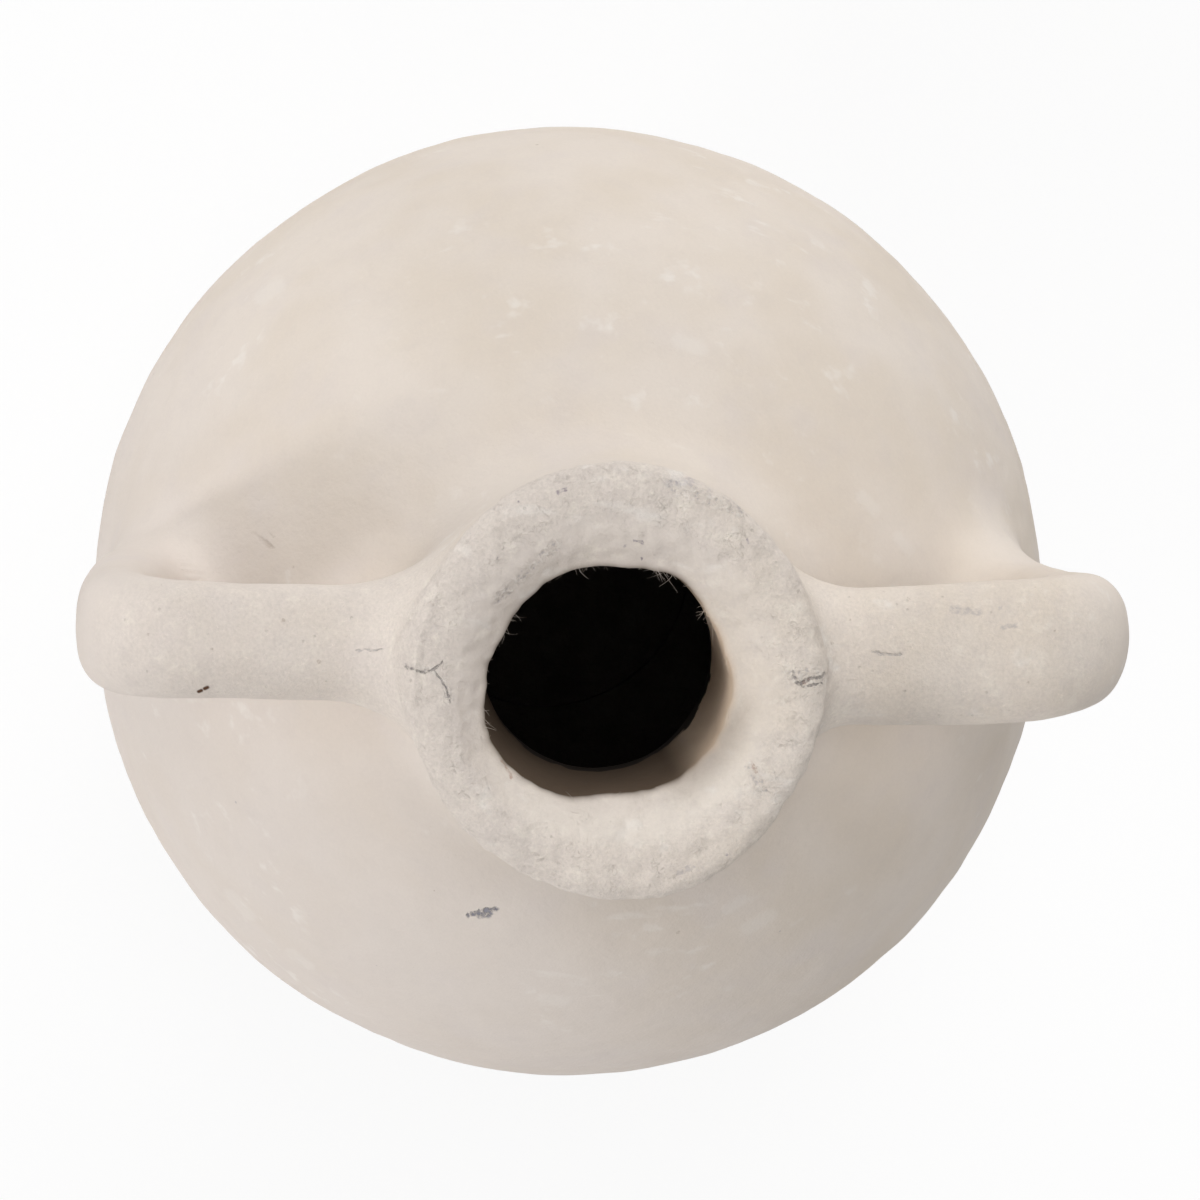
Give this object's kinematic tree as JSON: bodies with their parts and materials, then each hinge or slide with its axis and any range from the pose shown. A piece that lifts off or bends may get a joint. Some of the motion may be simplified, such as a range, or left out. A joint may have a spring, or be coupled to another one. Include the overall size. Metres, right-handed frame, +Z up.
{
  "type": "vase",
  "caption": "Round-bellied amphora-style vase of moulded paper pulp, with strap handles from neck to shoulder, a thick rolled lip and a base disc set into the foot; holds dried stems.",
  "frame": {"origin": "on the vase's axis, on the plane that the foot stands on", "axes": "+Z up along the axis, +X towards the right handle, +Y towards the back shell"},
  "size_m": [0.239, 0.238, 0.29],
  "materials": {
    "pale_pulp": "matte",
    "raw_pulp": "matte"
  },
  "bodies": {
    "root": {"front_shell": "pale_pulp", "back_shell": "pale_pulp", "left_handle": "pale_pulp", "right_handle": "pale_pulp", "base_disc": "raw_pulp"}
  },
  "joints": []
}
